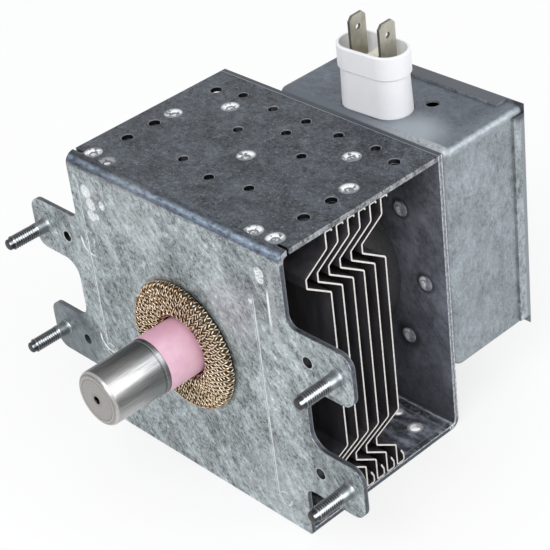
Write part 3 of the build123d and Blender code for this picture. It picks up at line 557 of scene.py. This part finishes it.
def box_extra(look):
    """Folds with painted highlights broken into patches, a front fold with a painted highlight
    brighter to the right, and a top wall with a painted reflection of the connector and painted
    light towards its right fold.
    """
    fold_sheen_patches = look.ramp(look.noise(0.8, 4.0, 0.7), (0.32, 0.72), (0.50, 1.0), (0.70, 1.22))
    shine = look.ramp(look.nz, (0.05, (0.285, 0.322, 0.345)), (0.35, (0.30, 0.34, 0.365)),
                      (0.58, (0.47, 0.52, 0.555)), (0.74, (0.42, 0.465, 0.50)),
                      (0.88, (0.19, 0.22, 0.25)), (0.98, (0.125, 0.145, 0.172)))
    # Painted light and shade across the side folds, with a painted highlight
    look.paint(look.mask(look.times(look.nx, look.nz, 2.0), 0.04, 0.25), look.product(shine, fold_sheen_patches))
    lit = look.times(look.mask(look.x, 4.0, 34.0), look.mask(fold_sheen_patches, 0.50, 1.10))
    # The front fold: painted shade, and a painted highlight towards the right
    look.paint(look.mask(look.times(look.ny, look.nz, -2.0), 0.1, 0.6),
               look.mix(lit, (0.125, 0.145, 0.170), (0.40, 0.43, 0.45)))
    level = look.mask(look.nz, 0.9, 1.0)
    # A painted reflection of the connector on the top wall
    look.paint(look.times(look.spot((27.0, 59.5, None), 3.0, 13.0), level, 0.9),
               (0.37, 0.41, 0.45))
    # Painted light on the top towards the right fold
    look.paint(look.times(look.mask(look.x, 34.0, 39.0), level, 0.2), (0.30, 0.34, 0.38))


def lid_extra(look):
    """Painted light on the bent edges, a top flange in painted shade, and painted shade at its
    corners.
    """
    (left, _, _), (right, rear, top) = node_corners("filter_lid")
    bent = look.band(look.y, rear - 1.8, rear - 0.2, 0.15)
    look.paint(look.times(bent, look.mask(look.ny, 0.97, 0.7)), (0.26, 0.29, 0.31))
    # Painted shade on the top flange
    look.paint(look.mask(look.nz, 0.6, 0.9), (0.105, 0.118, 0.135))
    # Painted shade at the corners
    for x in (right - 0.5, left + 0.5):
        corner = look.spot((x, rear - 2.0, top - 1.0), 2.2, 4.4)
        look.paint(look.times(corner, 0.85), (0.045, 0.048, 0.055))


# Other finishes

def fin_metal():
    """Aluminium sheet: near-white cut edges, and faces painted dark as the shade between the fins,
    clouded with lighter painted reflections.
    """
    look = Look("fin_aluminium", metallic=0.35)
    clouding = look.noise((0.25, 0.25, 0.06), 4.0, 0.6)
    # Painted shade on the faces, clouded with lighter painted reflections
    face = look.ramp(clouding, (0.35, (0.045, 0.042, 0.048)), (0.75, (0.110, 0.104, 0.112)))
    edge = look.ramp(look.noise(1.5, 3.0), (0.3, (0.62, 0.59, 0.56)), (0.7, (0.82, 0.79, 0.75)))
    look.base = look.mix(look.mask(look.size(look.nx), 0.5, 0.8), face, edge)
    look.rough(clouding, 0.35, 0.55)
    look.bump(clouding, 0.2, 0.05)
    return look.finished()


def cap_metal():
    """Drawn stainless cap: fine lines along the axis, long bands of painted highlight and painted
    shade round it, and on its end face a painted dark groove ring with a painted highlight beside
    it.
    """
    look = Look("cap_stainless", metallic=0.9)
    bands = ((0.00, 0.25), (0.12, 0.30), (0.20, 0.52), (0.26, 0.34), (0.362, 0.33),
             (0.434, 0.44), (0.464, 0.41), (0.489, 0.34), (0.509, 0.29), (0.529, 0.215),
             (0.546, 0.19), (0.5635, 0.23), (0.580, 0.37), (0.596, 0.62), (0.612, 0.88),
             (0.628, 0.98), (0.644, 0.86), (0.6605, 0.50), (0.6775, 0.31), (0.695, 0.20),
             (0.735, 0.120), (0.760, 0.078), (0.862, 0.090), (0.930, 0.20))
    warm = [(where, (tone, tone * 0.99, tone * 0.985)) for where, tone in bands]
    # Painted highlight and shade bands by the angle round the axis
    look.base = look.ramp(look.turned(look.nz, look.nx), *warm)
    end_groove_and_rim = look.ramp(look.over(look.from_axis(), 8.0), (0.20, (0.30, 0.285, 0.27)),
                      (0.30, (0.355, 0.34, 0.325)), (0.70, (0.345, 0.33, 0.315)),
                      (0.745, (0.20, 0.19, 0.18)), (0.775, (0.50, 0.485, 0.47)),
                      (0.82, (0.32, 0.305, 0.295)))
    # The end face: a painted dark groove ring with a painted highlight beside it
    look.paint(look.mask(look.ny, -0.80, -0.97), end_groove_and_rim)
    # A painted highlight on the rounded rim of the end face
    look.paint(look.times(look.band(look.ny, -0.82, -0.30, 0.1), 0.55), (0.60, 0.59, 0.57))
    # Rolled lines before the cap's foot, drawn in painted shade with a painted highlight between:
    # how far from it, half the width, grey
    side = look.mask(look.size(look.ny), 0.6, 0.4)
    foot = node_corners("antenna_cap")[1][1]
    for away, half, grey in ((1.6, 0.14, 0.09), (1.22, 0.10, 0.66), (0.15, 0.14, 0.12)):
        line = look.band(look.y, foot - away - half, foot - away + half, 0.08)
        look.paint(look.times(line, side, 0.55), (grey, grey, grey))
    line = look.noise((3.2, 0.16, 3.2), 4.0, 0.6)
    look.shade(look.ramp(line, (0.3, 0.80), (0.7, 1.18)))
    look.rough(line, 0.22, 0.36)
    look.bump(line, 0.15, 0.02)
    return look.finished()


def pink_glaze():
    """Pink alumina: painted shade makes it deeper at its upper edge and its foot; pale along the
    middle.
    """
    look = Look("pink_ceramic", metallic=0.0)
    tone = look.noise(0.35, 4.0, 0.6)
    look.base = look.ramp(tone, (0.34, (0.84, 0.505, 0.63)), (0.66, (0.90, 0.585, 0.70)))
    # Painted shade along the upper edge and at the foot
    upper = look.minus(look.times(look.nz, 0.94), look.times(look.nx, 0.34))
    look.paint(look.times(look.mask(upper, 0.62, 1.0), 0.8), (0.70, 0.36, 0.485))
    look.paint(look.times(look.mask(look.y, -6.5, -1.5), 0.6), (0.74, 0.39, 0.51))
    look.rough(tone, 0.34, 0.46)
    look.bump(look.noise(0.7, 2.0), 0.05, 0.03)
    return look.finished()


def plain(name, light, dark, metallic, rough, scale=1.0, bump=0.15):
    """A finish with soft tonal variation, for castings, ceramics and small metal pieces."""
    look = Look(name, metallic=metallic)
    tone = look.noise(scale, 4.0, 0.6)
    look.base = look.ramp(tone, (0.32, dark), (0.68, light))
    look.rough(tone, rough * 0.85, rough * 1.15)
    look.bump(look.noise(scale * 6, 2.0), bump, 0.03)
    return look.finished()


def blade_metal():
    """Tinned blade: soft warm grey faces with clouds, dark cut edges."""
    look = Look("tinned_blade", metallic=0.75)
    cloud = look.noise((0.5, 0.3, 0.225), 4.0, 0.6)
    look.base = look.ramp(cloud, (0.32, (0.34, 0.325, 0.27)), (0.68, (0.50, 0.475, 0.405)))
    look.paint(look.mask(look.size(look.nx), 0.85, 0.6), (0.14, 0.135, 0.12))
    look.rough(cloud, 0.30, 0.42)
    look.bump(look.noise(4.0, 2.0), 0.15, 0.03)
    return look.finished()


def stud_metal():
    """Zinc-plated stud: a painted highlight streak along it with painted shade to each side, a
    faint painted highlight at the neck, painted shade in the thread roots below lighter crests,
    dark end.
    """
    look = Look("stud_zinc", metallic=0.85)
    tone = look.noise((1.5, 0.9, 1.5), 4.0, 0.6)
    look.base = look.ramp(tone, (0.32, (0.13, 0.14, 0.145)), (0.50, (0.27, 0.285, 0.295)),
                          (0.68, (0.44, 0.46, 0.47)))
    right, rise = [look.times(look.minus(look.size(part), at), look.math("SIGN", part))
                   for part, at in ((look.x, STUD_X), (look.z, STUD_Z))]
    # Painted highlight and shade bands by the angle round each stud
    bands = look.ramp(look.turned(rise, right), (0.00, 0.30), (0.36, 0.26), (0.46, 0.20),
                      (0.50, 0.13), (0.545, 0.17), (0.575, 0.62), (0.595, 0.97), (0.622, 0.97),
                      (0.645, 0.60), (0.67, 0.20), (0.74, 0.10), (0.82, 0.16), (0.90, 0.34))
    cool = look.product(bands, (0.94, 1.0, 1.04))
    look.paint(0.85, look.product(cool, look.ramp(tone, (0.32, 0.72), (0.68, 1.2))))
    # A faint painted highlight at the neck
    look.paint(look.times(look.mask(look.y, -3.6, -2.9), 0.25), (0.52, 0.56, 0.59))
    # Painted shade in the thread roots, least under the painted highlight
    root = look.times(look.mask(look.length(right, rise), 1.93, 1.68),
                      look.mask(look.y, -3.2, -3.6))
    look.paint(look.times(root, look.ramp(bands, (0.25, 0.85), (0.70, 0.05))),
               (0.040, 0.043, 0.048))
    end = look.times(look.mask(look.y, -12.85, -12.95), look.mask(look.ny, -0.8, -0.95))
    look.paint(end, (0.055, 0.05, 0.048))
    look.rough(tone, 0.28, 0.45)
    return look.finished()


def brass_wire():
    """Knitted brass wire: copper-coloured, with painted light on the lower right, painted shade
    where it lies deep, a painted highlight on its crests with pale painted glints, and dark flecks.
    """
    look = Look("gasket_brass", metallic=0.85)
    out = look.from_axis()
    aside = look.most(look.minus(out, GASKET_OUTER - GASKET_BEND),
                      look.minus(GASKET_INNER + GASKET_BEND, out), 0.0)
    ahead = look.minus(-GASKET_BEND - GASKET_GAP, look.y)
    lift = look.minus(look.length(aside, ahead), GASKET_BEND)
    tone = look.noise(0.16, 2.0)
    fleck = look.noise(1.1, 1.0)
    look.base = look.ramp(tone, (0.35, (0.46, 0.345, 0.20)), (0.62, (0.54, 0.355, 0.215)))
    # Painted light on the lower right
    look.paint(look.times(look.mask(look.x, 2.0, 14.0), look.mask(look.z, -15.0, -4.0)),
               (0.74, 0.60, 0.42))
    # Painted shade where the wire lies deep, a painted highlight on its crests
    look.shade(look.ramp(lift, (0.00, (0.10, 0.09, 0.08)), (0.14, (0.55, 0.52, 0.50)),
                         (0.28, (1.1, 1.1, 1.1))))
    # Pale painted glints on the crests
    look.paint(look.times(look.mask(fleck, 0.42, 0.54), look.mask(lift, 0.22, 0.36)),
               (0.98, 0.90, 0.72))
    look.paint(look.times(look.mask(fleck, 0.42, 0.34), 0.8), (0.07, 0.045, 0.022))
    look.rough(fleck, 0.25, 0.42)
    return look.finished()


def rivet_metal():
    """Rivet heads painted with bright highlight rings, a ring of painted shade round a painted
    highlight at the middle, and painted shade on their sides to +X.
    """
    look = Look("rivet_steel", metallic=0.05)
    middles = look.most(*[look.spot((x, None, z), 0.0, 2.6) for x, z in RIVETS])
    look.base = look.ramp(middles, (0.04, (0.10, 0.105, 0.12)), (0.18, (0.80, 0.81, 0.90)),
                          (0.36, WHITE), (0.50, (0.62, 0.62, 0.72)), (0.58, (0.13, 0.13, 0.16)),
                          (0.68, (0.90, 0.90, 1.0)), (0.92, WHITE))
    # Painted shade on the sides facing +X
    look.paint(look.mask(look.nx, 0.02, 0.25), (0.26, 0.265, 0.31))
    tone = look.noise(0.8, 3.0)
    look.shade(look.ramp(tone, (0.40, 0.72), (0.56, 1.1)))
    look.rough(tone, 0.25, 0.4)
    return look.finished()


def set_looks():
    """Every CAD node gets its finish."""
    yoke_turn, box_turn = (0, 35, 0), (0, 20, 0)
    # Each sheet's tones by facing are painted light and shade: dark tops, dark faces inside the
    # yoke
    looks = {
        "front": zinc("zinc_yoke_front", dict(
            front=(0.352, 0.395, 0.409), back=DARK_SHADE, top=TOP_SHADE, under=DARK_SHADE, side=EDGE),
            yoke_turn, 1.25, front_extra),
        "rear": zinc("zinc_yoke_rear", dict(
            front=(0.285, 0.305, 0.360), back=(0.34, 0.37, 0.385), top=(0.300, 0.325, 0.375),
            under=(0.30, 0.33, 0.345), side=EDGE), yoke_turn, 0.5, rear_extra),
        "box": zinc("zinc_filter_box", dict(
            front=(0.33, 0.37, 0.39), back=(0.33, 0.37, 0.385), top=(0.118, 0.136, 0.162),
            under=(0.28, 0.31, 0.33), side=(0.285, 0.322, 0.345)), box_turn, 0.5, box_extra),
        "lid": zinc("zinc_filter_lid", dict(
            front=EDGE, back=(0.34, 0.375, 0.395), top=(0.25, 0.285, 0.31),
            under=(0.28, 0.31, 0.33), side=(0.325, 0.362, 0.383)), box_turn, 0.8, lid_extra),
        "fins": fin_metal(),
        "cap": cap_metal(),
        "pink": pink_glaze(),
        "blade": blade_metal(),
    }
    # Key, then what plain() takes: name, light and dark tone, metallic, roughness, scale, bump
    for key, *values in (
            ("steel", "nickel_steel", (0.50, 0.49, 0.47), (0.34, 0.33, 0.32), 0.85, 0.35, 0.8),
            ("white", "white_ceramic", (0.76, 0.745, 0.71), (0.69, 0.675, 0.64),
             0.0, 0.5, 0.3, 0.1),
            ("ferrite", "black_ferrite", (0.060, 0.058, 0.058), (0.028, 0.028, 0.03),
             0.1, 0.6, 1.2, 0.4),
            ("copper", "anode_copper", (0.72, 0.34, 0.20), (0.50, 0.21, 0.11), 0.9, 0.34, 0.5),
            ("iron", "pole_iron", (0.30, 0.295, 0.29), (0.20, 0.195, 0.19), 0.85, 0.42, 0.8),
            ("tungsten", "filament_tungsten", (0.34, 0.34, 0.35), (0.22, 0.22, 0.23),
             0.85, 0.4, 1.5),
            ("plastic", "white_plastic", (0.83, 0.83, 0.845), (0.80, 0.80, 0.82),
             0.0, 0.40, 0.2, 0.08),
            ("resin", "cast_resin", (0.88, 0.86, 0.70), (0.72, 0.70, 0.57), 0.0, 0.5, 0.5, 0.25)):
        looks[key] = plain(*values)
    # The first row whose words begin a node's name gives its finish
    rows = (
        ("front", "yoke_front"), ("rear", "yoke_rear"), ("box", "filter_box"),
        ("lid", "filter_lid"), ("cap", "antenna_cap"), ("pink", "antenna_ceramic"),
        ("white", "stem_ceramic", "capacitor_ceramic"),
        ("ferrite", "front_magnet", "rear_magnet", "choke_core"),
        ("plastic", "connector_housing"), ("resin", "terminal_insulator", "capacitor_case"),
        ("tungsten", "cathode_filament", "output_end_hat", "cathode_end_hat", "centre_lead",
         "side_lead"),
        ("copper", "exhaust_tube", "antenna_lead", "anode_", "choke_coil", "output_strap",
         "cathode_strap"),
        ("iron", "output_pole", "cathode_pole"), ("fins", "cooling_fin"),
        ("blade", "terminal_1", "terminal_2"), ("steel", ""))
    for name, obj in NODES.items():
        key = next(row[0] for row in rows if name.startswith(row[1:]))
        for slot in obj.material_slots:
            slot.material = looks[key]


# Mesh pieces

def angles(count):
    return [2 * math.pi * i / count for i in range(count)]


def ring(x, y, z, radius, count):
    """Points round the direction of Y; radius is a number, or a function of the angle."""
    reach = radius if callable(radius) else lambda angle: radius
    return [(x + reach(a) * math.cos(a), y, z + reach(a) * math.sin(a)) for a in angles(count)]


def grid_mesh(rows, closed_ends=True):
    """A tube of rings of points, each ring closed on itself, with its ends capped."""
    count = len(rows[0])
    points = [p for row in rows for p in row]
    faces = []
    for r in range(len(rows) - 1):
        here, after = r * count, (r + 1) * count
        for c in range(count):
            d = (c + 1) % count
            faces.append((here + c, here + d, after + d, after + c))
    if closed_ends:
        faces.append(tuple(reversed(range(count))))
        faces.append(tuple((len(rows) - 1) * count + c for c in range(count)))
    return points, faces


def join_parts(parts):
    """One list of points and faces out of several."""
    points, faces = [], []
    for some_points, some_faces in parts:
        start = len(points)
        points += some_points
        faces += [tuple(start + i for i in face) for face in some_faces]
    return points, faces


def put(name, data):
    obj = bpy.data.objects.new(name, data)
    bpy.context.scene.collection.objects.link(obj)
    return obj


def piece(name, points, faces, material):
    mesh = bpy.data.meshes.new(name)
    mesh.from_pydata([tuple(c * MM for c in p) for p in points], [], faces)
    mesh.materials.append(material)
    mesh.polygons.foreach_set("use_smooth", [True] * len(mesh.polygons))
    mesh.update()
    return put(name, mesh)


def stud_radius(angle, y):
    """Radius of a stud at a depth, with the thread's turns cut into the shank."""
    crest, neck, tip, deep, flare, pitch = 2.0, 1.98, 1.55, 0.40, 0.3, 0.7
    root_end, start, end = -0.9, -3.4, -11.4
    if y > root_end:
        return crest + flare * ((y - root_end) / -root_end) ** 2
    if y > start:
        return neck
    if y > end:
        phase = (y / pitch - angle / (2 * math.pi)) % 1.0
        cut = 1 - abs(2 * phase - 1)
        full = min(1.0, (start - y) / 0.8, (y - end) / 0.4)
        return crest - deep * max(0.0, full) * min(1.0, 1.5 * cut)
    return tip


def studs(material):
    """The four mounting studs with their threads, soft roots, points and heads."""
    segments, step, shank_end = 28, 0.1, -12.7
    # Depths and radii
    head = ((2.8, 3.0), (2.6, 3.3), (1.5, 3.3), (1.5, 2.3), (0.0, 2.3))
    point = ((-12.75, 1.5), (-12.95, 1.3), (-13.0, 1.1))
    parts = []
    for x in (-STUD_X, STUD_X):
        for z in (-STUD_Z, STUD_Z):
            rows = [ring(x, y, z, radius, segments) for y, radius in head]
            y = 0.0
            while y > shank_end:
                rows.append(ring(x, y, z, lambda angle: stud_radius(angle, y), segments))
                y -= step
            rows += [ring(x, y, z, radius, segments) for y, radius in point]
            parts.append(grid_mesh(rows))
    obj = piece("stud_threads", *join_parts(parts), material)
    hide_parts("mounting_studs")
    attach(obj, "root")


def bent_wire(start, end, bow, radius):
    """A short wire from start to end that bows along a vector, thin at both ends."""
    sides, steps = 5, 5
    side = (end - start).normalized().cross(bow).normalized()
    rise = bow.normalized()
    rows = []
    for i in range(steps + 1):
        t = i / steps
        middle = start.lerp(end, t) + bow * math.sin(math.pi * t)
        r = radius * (0.45 + 0.55 * math.sin(math.pi * t))
        rows.append([tuple(middle + (side * math.cos(a) + rise * math.sin(a)) * r)
                     for a in angles(sides)])
    return grid_mesh(rows)


def gasket_skin(way, lift=0.0):
    """Radius and depth on the gasket's section, way millimetres from its outer foot to its bore."""
    bend, arc = GASKET_BEND, math.pi * GASKET_BEND
    middle = -bend - GASKET_GAP
    if way < arc:
        a = way / bend - math.pi / 2
        return (GASKET_OUTER - bend + (bend + lift) * math.cos(a),
                middle - (bend + lift) * math.sin(a))
    way -= arc
    if way < GASKET_FACE:
        return GASKET_OUTER - bend - way, middle - bend - lift
    a = (way - GASKET_FACE) / bend
    return GASKET_INNER + bend - (bend + lift) * math.sin(a), middle - (bend + lift) * math.cos(a)


def gasket_point(way, lift, angle):
    radius, y = gasket_skin(way, lift)
    return Vector((radius * math.cos(angle), y, AXIS_Z + radius * math.sin(angle)))


def gasket(wire, shade_backing):
    """Knitted ring gasket: rows of paired slanted loops over a rounded base painted dark as the
    shade deep in the knit.
    """
    steps, count = 26, 120
    rows = []
    for i in range(steps + 1):
        radius, y = gasket_skin(GASKET_WAY * i / steps)
        rows.append(ring(0.0, y, AXIS_Z, radius, count))
    points, faces = grid_mesh(rows, closed_ends=False)
    faces += [(steps * count + (c + 1) % count, (c + 1) % count, c, steps * count + c)
              for c in range(count)]
    base = piece("gasket_base", points, faces, shade_backing)
    lines, margin, stitch, overlap = 10, 1.25, 1.75, 0.45
    wire_radius, wire_lift = 0.22, 0.21
    step = (GASKET_WAY - 2 * margin) / lines
    parts = []
    for line in range(lines):
        outer = margin + (line - overlap) * step
        inner = outer + (1 + overlap) * step
        radius = gasket_skin((inner + outer) / 2)[0]
        stitches = int(2 * math.pi * radius / stitch)
        wide = stitch / 2 / radius
        for s in range(stitches):
            # Two repeatable values between -1 and 1 make each loop a little different
            stray = math.sin(12.9898 * s + 78.233 * line)
            other = math.sin(39.346 * s + 11.135 * line)
            turn = 2 * math.pi * (s + 0.5 * (line % 2)) / stitches + 0.22 * wide * stray
            for way in (-1, 1):
                a0, a1 = turn + way * wide * 0.98, turn + way * wide * 0.06
                low = gasket_point(max(outer + 0.10 * other, 0.0), -0.02, a0)
                high = gasket_point(inner + 0.12 * stray, 0.05 + 0.05 * other, a1)
                crest = gasket_point((outer + inner) / 2 + 0.1 * other,
                                     wire_lift + 0.05 * stray * way, (a0 + a1) / 2)
                parts.append(bent_wire(low, high, crest - (low + high) / 2, wire_radius))
    knit = piece("gasket_knit", *join_parts(parts), wire)
    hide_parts("rf_gasket")
    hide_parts("rf_gasket")
    for obj in (base, knit):
        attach(obj, "root")


def rivets(material):
    """Domed heads inside the yoke and clenched ends in the box."""
    # Depths and radii
    profile = ((54.94, 0.35), (54.98, 0.8), (55.10, 1.3), (55.28, 1.8), (55.50, 2.2),
               (55.68, 2.42), (55.7, 1.5), (58.0, 1.5), (58.02, 1.98), (58.6, 1.96), (58.8, 1.6))
    parts = [grid_mesh([ring(x, y, z, radius, 32) for y, radius in profile]) for x, z in RIVETS]
    obj = piece("rivet_heads", *join_parts(parts), material)
    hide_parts("box_rivets")
    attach(obj, "root")


# Stage, in metres

def floor():
    """A floor just under the object, lifted towards white where it is seen, but for the shadow."""
    size, gap, lifted = 4.0, 0.0002, 0.72
    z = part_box("yoke_rear")[0].z - gap
    mesh = bpy.data.meshes.new("floor")
    mesh.from_pydata([(-size, -size, z), (size, -size, z), (size, size, z), (-size, size, z)],
                     [], [(0, 1, 2, 3)])
    obj = put("floor", mesh)
    look = Look("floor_white", roughness=0.9)
    look.base = (0.96, 0.96, 0.96)
    look.shader.inputs["Specular IOR Level"].default_value = 0.0
    blend = look.node("ShaderNodeMixShader")
    look.feed(blend.inputs[0], look.times(look.seen(), lifted))
    look.feed(blend.inputs[1], look.shader.outputs[0])
    look.feed(blend.inputs[2], look.node("ShaderNodeEmission").outputs[0])
    look.feed(look.tree.nodes["Material Output"].inputs["Surface"], blend.outputs[0])
    mesh.materials.append(look.finished())


def world():
    """White where it is seen, and a little less as light on the object."""
    made = bpy.data.worlds.new("studio")
    bpy.context.scene.world = made
    made.use_nodes = True
    nodes = Nodes(made.node_tree)
    back = nodes.tree.nodes["Background"]
    back.inputs["Strength"].default_value = 1.0
    nodes.feed(back.inputs["Color"], nodes.mix(nodes.seen(), (0.74, 0.75, 0.77), WHITE))


def lamp(name, place, size, power):
    """A square soft light that points at the middle of the yoke."""
    data = bpy.data.lights.new(name, "AREA")
    data.size = size
    data.energy = power
    obj = put(name, data)
    obj.location = place
    toward = Vector((0, 0.02, 0)) - Vector(place)
    obj.rotation_euler = toward.to_track_quat("-Z", "Y").to_euler()


def camera():
    """The photograph's viewpoint, with its slight roll and off-centre frame."""
    azimuth, elevation, roll = (math.radians(a) for a in (50.350, 33.150, -7.440))
    away = 0.4665
    target = Vector((2.976, 26.968, 13.13)) * MM
    back = Vector((math.sin(azimuth) * math.cos(elevation),
                   -math.cos(azimuth) * math.cos(elevation), math.sin(elevation)))
    right = Vector((math.cos(azimuth), math.sin(azimuth), 0))
    up = back.cross(right)
    across = right * math.cos(roll) + up * math.sin(roll)
    upward = up * math.cos(roll) - right * math.sin(roll)
    data = bpy.data.cameras.new("photo_view")
    data.lens, data.sensor_width = 116.60, 36.0
    data.shift_x, data.shift_y = 0.01688, -0.01780
    obj = put("photo_view", data)
    turn = Matrix((across, upward, back)).transposed().to_4x4()
    obj.matrix_world = Matrix.Translation(target + back * away) @ turn
    bpy.context.scene.camera = obj


camera()
set_looks()
studs(stud_metal())
# The gasket's base is painted dark as shade
gasket(brass_wire(), plain("gasket_shade_backing", (0.055, 0.036, 0.020), (0.016, 0.011, 0.007),
                           0.3, 0.6, 1.5))
rivets(rivet_metal())
floor()
world()
lamp("key", (0.35, -0.75, 0.75), 0.7, 5.5)
lamp("side", (0.85, 0.25, 0.35), 0.6, 2.5)
bpy.context.scene.view_settings.view_transform = "Standard"
